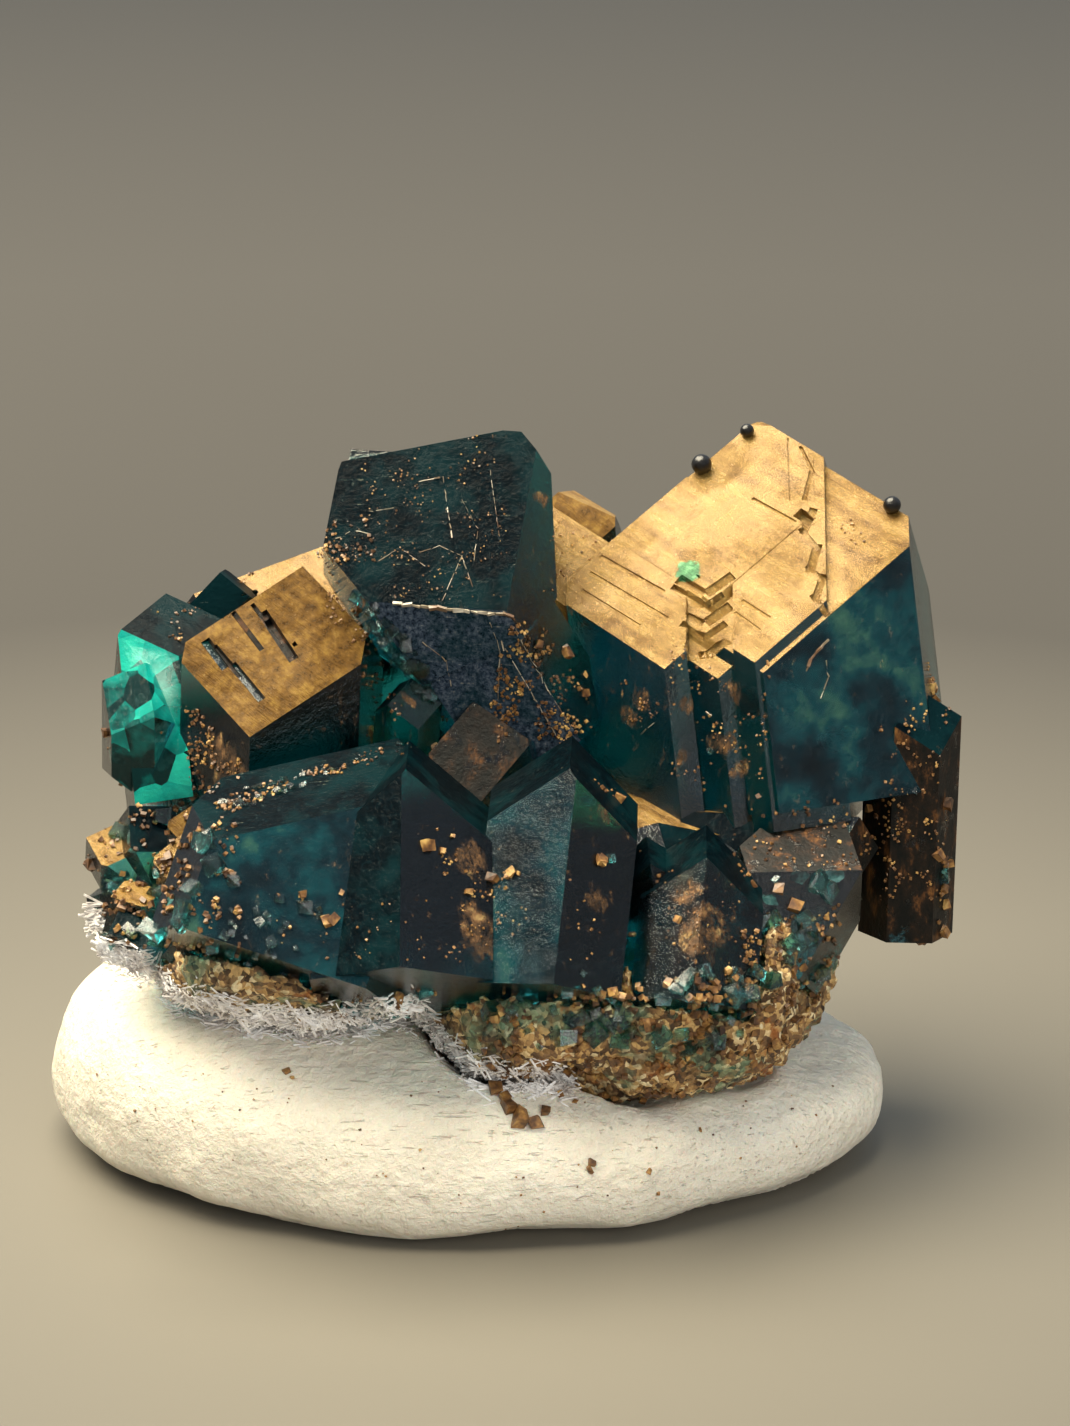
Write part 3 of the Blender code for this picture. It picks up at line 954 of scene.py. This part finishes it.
# %% Sow and set
SEED = 7
rng = random.Random(SEED)
trees = {"crystals": crystal_tree, "rock": rock_tree, "putty": putty_tree}


def nearest_seen(x, y):
    """The nearest surface at a place in the picture: its name, point and normal."""
    eye = Vector(camera.location) / MM
    best = None
    for name, tree in trees.items():
        hit = tree.ray_cast(eye, sight_line(x, y))
        if hit[0] and (best is None or hit[3] < best[0]):
            best = (hit[3], name, hit[0], hit[1])
    return best[1:] if best else None


def inside(x, y, outline):
    """Tells whether a place lies inside an outline."""
    found = False
    for (x1, y1), (x2, y2) in zip(outline, outline[1:] + outline[:1]):
        if (y1 > y) != (y2 > y) and x < x1 + (y - y1) / (y2 - y1) * (x2 - x1):
            found = not found
    return found


def sow(outline, count, only=None, clumps=0.0):
    """Points and normals of surfaces at random places inside an outline, in clumps."""
    xs = [x for x, _ in outline]
    ys = [y for _, y in outline]
    found = []
    for _ in range(count * 6):
        if len(found) >= count:
            break
        x, y = rng.uniform(min(xs), max(xs)), rng.uniform(min(ys), max(ys))
        if not inside(x, y, outline):
            continue
        seen = nearest_seen(x, y)
        if not seen or (only and seen[0] not in only):
            continue
        if clumps and noise.noise(seen[1] * 1.4) + 0.25 * rng.random() < clumps:
            continue
        found.append((seen[1], seen[2]))
    return found


def sow_round(bm, count, wanted, clumps=0.12):
    """Points and normals in clumps on the faces of a mesh for which wanted says yes."""
    faces = [f for f in bm.faces if wanted(f.calc_center_median(), f.normal)]
    weights = [f.calc_area() for f in faces]
    found = []
    for face in rng.choices(faces, weights, k=count * 6):
        corners = [vert.co for vert in face.verts]
        shares = [rng.random() ** 2 + 0.02 for _ in corners]
        point = sum((c * s for c, s in zip(corners, shares)), Vector()) / sum(shares)
        if len(found) < count and noise.noise(point * 0.8) + 0.2 * rng.random() > clumps:
            found.append((point, face.normal.copy()))
    return found


BATCH = 40


class Heap:
    """A bmesh that grows by small batches, so that adding a grain stays quick."""

    def __init__(self):
        self.whole = bmesh.new()
        self.batch = bmesh.new()
        self.waiting = 0

    def added(self):
        self.waiting += 1
        if self.waiting >= BATCH:
            self.flush()

    def flush(self):
        mesh = bpy.data.meshes.new("batch")
        self.batch.to_mesh(mesh)
        self.whole.from_mesh(mesh)
        bpy.data.meshes.remove(mesh)
        self.batch.clear()
        self.waiting = 0
        return self.whole


def grain_at(heap, point, normal, size, long=1.0, sink=0.25, along=None):
    """Adds one grain, turned at random about the surface normal."""
    normal = normal.normalized()
    side = along if along is not None else normal.orthogonal()
    side = (side - normal * side.dot(normal)).normalized()
    if along is None:
        side.rotate(Matrix.Rotation(rng.uniform(0, math.tau), 3, normal))
    turn = Matrix((side, normal.cross(side), normal)).transposed().to_4x4()
    shape = Matrix.Diagonal(
        (size * long, size * rng.uniform(0.7, 1.1), size * rng.uniform(0.5, 0.95), 1)
    )
    tip = Matrix.Rotation(rng.uniform(-0.5, 0.5), 4, "X")
    tip = tip @ Matrix.Rotation(rng.uniform(-0.5, 0.5), 4, "Y")
    low = [v / MM + size * 1.2 for v in solid_low]
    high = [v / MM - size * 1.2 for v in solid_high]
    centre = point + normal * size * (0.5 - sink)
    centre = Vector(min(max(v, a), b) for v, a, b in zip(centre, low, high))
    place = Matrix.Translation(centre) @ turn @ tip @ shape
    made = bmesh.ops.create_cube(heap.batch, size=1.0, matrix=place)
    for vert in made["verts"]:
        jog = Vector((rng.uniform(-1, 1), rng.uniform(-1, 1), rng.uniform(-1, 1)))
        vert.co += jog * size * 0.16
    heap.added()


# %% [markdown]
# ### Ochre grains
# Earthy iron rock in grains of a tenth to a third of a millimetre, brown to gold.

# %% Ochre grains
GRAIN_OUTLINES = [
    ([(315, 522), (365, 515), (392, 604), (365, 590), (318, 560)], 90, 0.08),
    ([(340, 440), (420, 430), (505, 428), (506, 436), (342, 456)], 40, 0.05),
    ([(345, 450), (505, 445), (508, 600), (400, 604), (330, 545)], 260, 0.04),
    ([(510, 617), (545, 625), (600, 722), (560, 745), (480, 740)], 320, 0.08),
    ([(310, 560), (345, 580), (400, 700), (440, 760), (400, 750), (330, 620)], 200, 0.07),
    ([(124, 611), (200, 600), (250, 572), (300, 552), (200, 612), (182, 644)], 90, 0.07),
    ([(185, 700), (245, 745), (235, 800), (190, 790)], 140, 0.08),
    ([(100, 800), (240, 800), (240, 960), (95, 950)], 260, 0.12),
    ([(440, 845), (505, 845), (500, 970), (450, 970)], 70, 0.055),
    ([(270, 900), (600, 900), (600, 960), (280, 960)], 70, 0.055),
    ([(655, 870), (745, 870), (740, 985), (660, 985)], 80, 0.055),
    ([(727, 800), (890, 800), (890, 870), (730, 870)], 100, 0.08),
    ([(880, 700), (950, 700), (945, 900), (880, 900)], 160, 0.07),
    ([(740, 930), (850, 900), (820, 1000), (745, 990)], 160, 0.10),
    ([(665, 640), (770, 660), (765, 790), (670, 790)], 140, 0.06),
    ([(620, 680), (665, 680), (660, 725), (622, 720)], 40, 0.06),
    ([(840, 515), (870, 515), (872, 565), (845, 560)], 20, 0.05),
    ([(548, 515), (615, 537), (581, 575), (542, 596)], 40, 0.05),
    ([(215, 800), (300, 770), (411, 738), (416, 750), (305, 786), (222, 816)], 220, 0.07),
    ([(480, 1010), (850, 950), (780, 1060), (650, 1108), (480, 1070)], 420, 0.18),
]
ochre_heap = Heap()
for outline, count, size in GRAIN_OUTLINES:
    for point, normal in sow(outline, count, ("crystals", "rock"), 0.12):
        grain_at(ochre_heap, point, normal, size * rng.uniform(0.3, 1.2))
hidden = lambda point, normal: (normal.y > 0.1 or abs(normal.x) > 0.7) and point.z < 15
for point, normal in sow_round(crystals_now, 900, hidden, 0.25):
    grain_at(ochre_heap, point, normal, 0.05 + 0.2 * rng.random() ** 3)
low_down = lambda point, normal: point.z < 11.5 and normal.z < 0.7
for point, normal in sow_round(crystals_now, 300, low_down):
    grain_at(ochre_heap, point, normal, 0.06 + 0.25 * rng.random() ** 2)
on_the_back = lambda point, normal: point.y > 0
for point, normal in sow_round(rock_now, 500, on_the_back):
    grain_at(ochre_heap, point, normal, 0.1 + 0.3 * rng.random() ** 2)


def mottled(name, stops, noise_settings, surface_settings):
    """A material whose colour wanders between a few tones, as noise of some scale does."""
    material, tree, output, place = new_material(name)
    wander = add(tree, "TexNoise", noise_settings, {"Vector": place})
    colour = add(tree, "ValToRGB", {"stops": stops}, {"Fac": wander})
    shader = add(tree, "BsdfPrincipled", surface_settings, {"Base Color": colour})
    tree.links.new(shader.outputs[0], output.inputs["Surface"])
    return material


ochre = mottled(
    "limonite grains", [(0.3, "#2a1b10"), (0.45, "#5c3c20"), (0.56, "#8d6434"), (0.7, "#cfa964")],
    {"Scale": 1.8, "Detail": 3.0, "Roughness": 0.7}, {"IOR": 1.7, "Roughness": 0.5},
)
piece("ochre_grains", ochre_heap.flush(), [ochre])

# %% [markdown]
# ### Small green crystals
# The same mineral in blocks of a quarter of a millimetre. Thin as they are, they stay
# bright where the large crystals turn dark.

# %% Small green crystals
GREEN_OUTLINES = [
    ([(103, 800), (240, 840), (240, 950), (110, 940)], 16, 0.4),
    ([(352, 590), (392, 615), (440, 690), (425, 700), (380, 640)], 60, 0.26),
    ([(770, 865), (860, 870), (810, 1000), (760, 930)], 16, 0.35),
    ([(480, 1000), (780, 960), (740, 1050), (520, 1050)], 60, 0.36),
    ([(205, 900), (300, 920), (300, 980), (220, 960)], 24, 0.18),
    ([(215, 800), (300, 770), (411, 738), (416, 750), (305, 786), (222, 816)], 40, 0.14),
]
green_heap = Heap()
for outline, count, size in GREEN_OUTLINES:
    for point, normal in sow(outline, count, ("crystals", "rock")):
        grain_at(green_heap, point, normal, size * rng.uniform(0.5, 1.4), sink=0.42)
for point, normal in sow_round(crystals_now, 60, low_down):
    grain_at(green_heap, point, normal, rng.uniform(0.15, 0.4), sink=0.42)
for point, normal in sow_round(rock_now, 90, on_the_back, 0.2):
    grain_at(green_heap, point, normal, rng.uniform(0.2, 0.5), sink=0.42)
dense = dioptase_material("small dioptase", density=SMALL_DENSITY, gloss=0.2)
piece("small_dioptase", green_heap.flush(), [dense])

# %% [markdown]
# ### Cracks inside the crystals
# Dioptase splits along flat planes, and the air in a crack inside a crystal turns it into
# a mirror: the small crystal at the left edge glows turquoise from such cracks. Each is a
# thin, ragged lens that lies wholly inside the crystal, a little below the face seen.

# %% Cracks
CRACKS = [
    (140, 730, 0.8, 1.9), (155, 700, 0.6, 1.3), (118, 758, 0.6, 0.9), (165, 755, 0.7, 0.9),
    (144, 836, 0.4, 0.5), (118, 880, 0.4, 0.5), (200, 930, 0.4, 0.5), (170, 900, 0.4, 0.4),
    (545, 775, 1.6, 0.6), (500, 790, 0.9, 0.5), (800, 876, 0.4, 0.9), (835, 875, 0.4, 0.8),
    (770, 900, 0.4, 0.6), (365, 600, 0.3, 0.3), (378, 622, 0.3, 0.3), (390, 642, 0.3, 0.3),
    (330, 560, 0.4, 0.3), (790, 700, 2.4, 1.2), (840, 740, 2.6, 1.2), (600, 660, 1.8, 0.9),
    (715, 845, 0.5, 0.6),
]
LENS_THICKNESS, LENS_CORNERS = 0.02, 9
crack_bm = bmesh.new()
for x, y, depth, size in CRACKS:
    point, normal = seen_at(x, y)
    if point is None:
        continue
    inward = (sight_line(x, y) - normal).normalized()
    centre = point + inward * depth
    skin, skin_normal, _, gap = crystal_tree.find_nearest(centre)
    if (centre - skin).dot(skin_normal) > 0 or gap < 0.12:
        continue
    reach = min(size / 2, gap * 0.9)
    facing = (Vector((0, 0, 1)) - inward).normalized()
    facing = (facing + 0.3 * Vector([rng.uniform(-1, 1) for _ in range(3)])).normalized()
    side = facing.orthogonal().normalized()
    other = facing.cross(side)
    ring = []
    for corner in range(LENS_CORNERS):
        angle = math.tau * corner / LENS_CORNERS
        out = side * math.cos(angle) + other * math.sin(angle)
        ring.append(crack_bm.verts.new(centre + out * reach * rng.uniform(0.55, 1.0)))
    above, beneath = (
        crack_bm.verts.new(centre + facing * LENS_THICKNESS * sign) for sign in (1, -1)
    )
    for one, two in zip(ring, ring[1:] + ring[:1]):
        crack_bm.faces.new((one, two, above))
        crack_bm.faces.new((two, one, beneath))

crack_air = mottled(
    "cracks", [(0.40, "#0e2b2b"), (0.5, "#6fa79f"), (0.6, "#f2fffb")],
    {"Scale": 1.6, "Detail": 4.0, "Roughness": 0.6}, {"Roughness": 0.35},
)
piece("inner_cracks", crack_bm, [crack_air])

# %% [markdown]
# ### Pale fibrous rim
# Along the foot of the stone runs a rim of pale, splintery fibres. Each is a thin rod laid
# roughly along the rim.

# %% Pale rim
RIM_START, RIM_END, RIM_STEP = 92, 575, 16


def foot_of_stone(x):
    """How far down the picture the stone reaches above the putty."""
    for y in range(1130, 900, -2):
        seen = nearest_seen(x, y)
        if seen and seen[0] != "putty":
            return y
    return None


rim_line = [(x, foot_of_stone(x)) for x in range(RIM_START, RIM_END, RIM_STEP)]
rim_line = [(x, y) for x, y in rim_line if y]
rim_heap = Heap()
for (x1, y1), (x2, y2) in zip(rim_line, rim_line[1:]):
    steps = int(math.hypot(x2 - x1, y2 - y1) * 6.5)
    for _ in range(steps):
        share = rng.random()
        x = x1 + (x2 - x1) * share
        y = y1 + (y2 - y1) * share - 4 + rng.gauss(0, 8)
        seen = nearest_seen(x, y)
        ahead = nearest_seen(x + 8, y + rng.uniform(-4, 7))
        if not seen or not ahead:
            continue
        along = ahead[1] - seen[1]
        if along.length > 1.5 or along.length < 0.02:
            continue
        grain_at(
            rim_heap, seen[1], seen[2], rng.uniform(0.025, 0.06), long=rng.uniform(5.0, 15.0),
            sink=0.1, along=along,
        )


# Behind, the fibres lie on the rock wherever it comes close to the putty
BEHIND_COUNT, BEHIND_GAP = 2400, 0.8
low_behind = lambda point, normal: point.y > 0.5 and normal.z < 0.5
for point, normal in sow_round(rock_now, BEHIND_COUNT, low_behind, -1.0):
    if putty_tree.find_nearest(point)[3] < BEHIND_GAP:
        level_way = Vector((0, 0, 1)).cross(normal)
        level_way.z += rng.uniform(-0.3, 0.3)
        size, long = rng.uniform(0.025, 0.06), rng.uniform(5.0, 13.0)
        grain_at(rim_heap, point, normal, size, long=long, sink=0.1, along=level_way)
rock_now.free()

pale_fibres = mottled(
    "pale fibres", [(0.3, "#aaa19b"), (0.45, "#e0dad6"), (0.6, "#faf8f6")],
    {"Scale": 1.4, "Detail": 3.0, "Roughness": 0.7}, {"Roughness": 0.5},
)
piece("pale_rim", rim_heap.flush(), [pale_fibres])

# %% [markdown]
# ### Black beads
# Three round beads of iron ore, like peppercorns, sit on the upper edges.

# %% Black beads
BEADS = [(703, 466, 0.29), (893, 506, 0.25), (748, 431, 0.20)]
bead_bm = bmesh.new()
for x, y, radius in BEADS:
    seen = nearest_seen(x, y + 3)
    if not seen:
        continue
    centre = inside_solid(seen[1] + seen[2] * radius * 0.75, solid_low, solid_high, radius)
    bmesh.ops.create_icosphere(
        bead_bm, subdivisions=3, radius=radius, matrix=Matrix.Translation(centre)
    )


def bead_material():
    """Black iron ore with a half-bright, slightly uneven skin."""
    material, tree, output, place = new_material("goethite")
    bump = add(
        tree, "Bump", {"Distance": 0.00002},
        {
            "Height": add(
                tree, "TexNoise", {"Scale": 9.0, "Detail": 3.0, "Roughness": 0.5},
                {"Vector": place},
            ),
        },
    ).outputs["Normal"]
    shader = add(
        tree, "BsdfPrincipled", {"Base Color": linear("#120e0b"), "Roughness": 0.3, "IOR": 1.6},
        {"Normal": bump},
    )
    tree.links.new(shader.outputs[0], output.inputs["Surface"])
    return material


goethite = bead_material()
piece("black_beads", bead_bm, [goethite], smooth=True)

# %% [markdown]
# ### Splinters and scratches
# Bright scratches, a star-shaped crack, a copper-coloured ledge and hair-thin splinters
# catch the light on the dark crystals; the pale ridges of the ledge and of the chips on the
# right crystal are painted highlights of edges. Each is a fine ridge laid from point to point.

# %% Splinters
SPLINTERS_AND_GLINTS = [
    ([(417, 482), (443, 477), (447, 505), (452, 537)], 0.035), ([(368, 512), (393, 508)], 0.025),
    ([(462, 556), (452, 578), (443, 600)], 0.025), ([(462, 556), (473, 588)], 0.025),
    ([(462, 556), (440, 546), (420, 552)], 0.02),
    # The ledge under the dark top crystal: a pale ridge as a painted highlight of its edge
    ([(393, 603), (430, 607), (470, 611), (512, 615)], 0.13),
    ([(336, 540), (352, 530), (371, 534)], 0.025), ([(380, 560), (400, 548), (425, 566)], 0.02),
    ([(462, 500), (478, 530), (474, 560)], 0.02), ([(490, 470), (500, 540)], 0.02),
    ([(420, 640), (446, 660), (452, 690)], 0.025), ([(500, 640), (530, 690), (556, 735)], 0.04),
    ([(515, 630), (548, 690), (572, 728)], 0.035), ([(490, 622), (500, 650), (498, 700)], 0.03),
    # Chips on the right crystal's face, pale as painted glints
    ([(828, 640), (820, 648), (810, 660), (806, 672)], 0.09),
    ([(826, 660), (828, 678), (820, 700)], 0.05), ([(706, 712), (712, 716)], 0.07),
    ([(640, 735), (655, 722)], 0.03), ([(775, 928), (782, 934)], 0.08),
]
splinter_and_glint_heap = Heap()
for line, width in SPLINTERS_AND_GLINTS:
    for (x1, y1), (x2, y2) in zip(line, line[1:]):
        count = max(2, int(math.hypot(x2 - x1, y2 - y1) / 8))
        for step in range(count):
            x = x1 + (x2 - x1) * (step + 0.5) / count
            y = y1 + (y2 - y1) * (step + 0.5) / count
            seen = nearest_seen(x, y)
            ahead = nearest_seen(x + (x2 - x1) / count, y + (y2 - y1) / count)
            if not seen or not ahead or (ahead[1] - seen[1]).length > 0.9:
                continue
            reach = (ahead[1] - seen[1]).length * 1.15
            grain_at(
                splinter_and_glint_heap, seen[1], seen[2], width * rng.uniform(0.5, 0.9),
                long=reach / width * 1.3, sink=0.3, along=ahead[1] - seen[1],
            )

# The pale tones are real scratches and splinters, and painted highlights on the ledge and chips
splinters_and_painted_glints = mottled(
    "splinters and painted glints", [(0.35, "#6b4e37"), (0.5, "#8d7f69"), (0.65, "#b8ae9b")],
    {"Scale": 0.8, "Detail": 2.0, "Roughness": 0.5}, {"Roughness": 0.3, "IOR": 1.66},
)
piece("splinters", splinter_and_glint_heap.flush(), [splinters_and_painted_glints])
crystals_now.free()

# %% [markdown]
# ### Grains on the putty
# A few brown grains and black specks fell on the putty and stuck.

# %% Grains on the putty
PAD_GRAINS = [
    (592, 1163, 0.20), (590, 1170, 0.16), (649, 1171, 0.11), (658, 1193, 0.08), (520, 1120, 0.42),
    (535, 1125, 0.34), (545, 1112, 0.26), (508, 1108, 0.28), (495, 1090, 0.34), (505, 1098, 0.30),
    (287, 1072, 0.14), (292, 1078, 0.10), (560, 1095, 0.16), (575, 1102, 0.12), (360, 1130, 0.06),
    (420, 1150, 0.06), (700, 1130, 0.08), (240, 1110, 0.05),
]
crumb_heap = Heap()
for x, y, size in PAD_GRAINS:
    seen = nearest_seen(x, y)
    if seen and seen[0] == "putty":
        grain_at(crumb_heap, seen[1], seen[2], size, long=rng.uniform(0.8, 1.5))
PAD_OUTLINE = [(80, 1060), (860, 1080), (840, 1150), (500, 1235), (110, 1180)]
for point, normal in sow(PAD_OUTLINE, 60, ("putty",)):
    grain_at(crumb_heap, point, normal, rng.uniform(0.02, 0.06))
piece("pad_crumbs", crumb_heap.flush(), [ochre])

# %% [markdown]
# ## Floor and light
# A plain pale floor whose colour darkens away from the specimen, a painted fall-off of the
# light, one warm soft light almost overhead, which the top faces mirror as gold, helped by a
# painted gold coat, a fill light from the front, which only what is dull takes up, and a dim,
# slightly cool surround.

# %% Floor, surround and light
floor_bm = bmesh.new()
bmesh.ops.create_circle(floor_bm, cap_ends=True, segments=96, radius=900.0)
bmesh.ops.translate(floor_bm, verts=floor_bm.verts, vec=(0, 0, -0.03))
bmesh.ops.scale(floor_bm, vec=(MM,) * 3, verts=floor_bm.verts)
floor_mesh = bpy.data.meshes.new("floor")
floor_bm.to_mesh(floor_mesh)
floor_bm.free()
floor = bpy.data.objects.new("floor", floor_mesh)
bpy.context.scene.collection.objects.link(floor)

floor_material, tree, output, place = new_material("pale floor")
away = add(tree, "VectorMath", {"operation": "LENGTH"}, {0: place}).outputs["Value"]
# Paler near the specimen and darker away from it: painted fall-off of the light on the floor
floor_colour_with_painted_falloff = add(
    tree, "ValToRGB", {"stops": [(0.10, "#6d685e"), (0.45, "#423e38"), (1.0, "#4b4741")]},
    {"Fac": add(tree, "Math", {"operation": "DIVIDE", 1: 120.0}, {0: away})},
)
shader = add(tree, "BsdfPrincipled", {"Roughness": 0.6}, {"Base Color": floor_colour_with_painted_falloff})
tree.links.new(shader.outputs[0], output.inputs["Surface"])
floor_mesh.materials.append(floor_material)

world = bpy.data.worlds.new("studio")
bpy.context.scene.world = world
world.use_nodes = True
sky = world.node_tree
sky.nodes.clear()
direction = add(sky, "TexCoord").outputs["Generated"]
parts = add(sky, "SeparateXYZ", links={0: direction})
height = parts.outputs["Z"]
sky_colour = add(
    sky, "ValToRGB",
    {"stops": [(0.40, "#8b8577"), (0.52, "#8f9496"), (0.75, "#9fb0be"), (1.0, "#b8ccdf")]},
    {
        "Fac": add(
            sky, "Math", {**PLUS, 1: 0.5}, {0: add(sky, "Math", {**TIMES, 1: 0.5}, {0: height})}
        ),
    },
)
behind = add(
    sky, "MapRange", {**SOFT, "From Min": -0.35, "From Max": 0.35}, {"Value": parts.outputs["Y"]}
)
level = add(sky, "Math", {**PLUS, 0: 0.62}, {1: add(sky, "Math", {**TIMES, 1: 0.38}, {0: behind})})
glow = add(sky, "Background", links={"Color": sky_colour, "Strength": level})
add(sky, "OutputWorld", links={"Surface": glow.outputs[0]})

# Each light: its direction, its distance and width in metres, its power and its colour.
# The fill light brightens what is dull, and the crystal faces don't mirror it.
LIGHTS = [
    ("soft light", (-0.35, 0.03, 0.95), 0.30, 0.30, 3.7, (1.0, 0.90, 0.68), True),
    ("fill light", (0.45, -0.85, 0.28), 0.60, 0.45, 2.7, (1.0, 0.97, 0.90), False),
]
for name, way, distance, width, power, colour, mirrored in LIGHTS:
    way = Vector(way).normalized()
    light_data = bpy.data.lights.new(name, "AREA")
    light_data.shape = "SQUARE"
    light_data.size = width
    light_data.energy = power
    light_data.color = colour
    light = bpy.data.objects.new(name, light_data)
    bpy.context.scene.collection.objects.link(light)
    light.location = Vector((0, 0, 0.012)) + way * distance
    light.rotation_euler = way.to_track_quat("Z", "Y").to_euler()
    light.visible_glossy = mirrored

bpy.context.scene.view_settings.view_transform = "Standard"
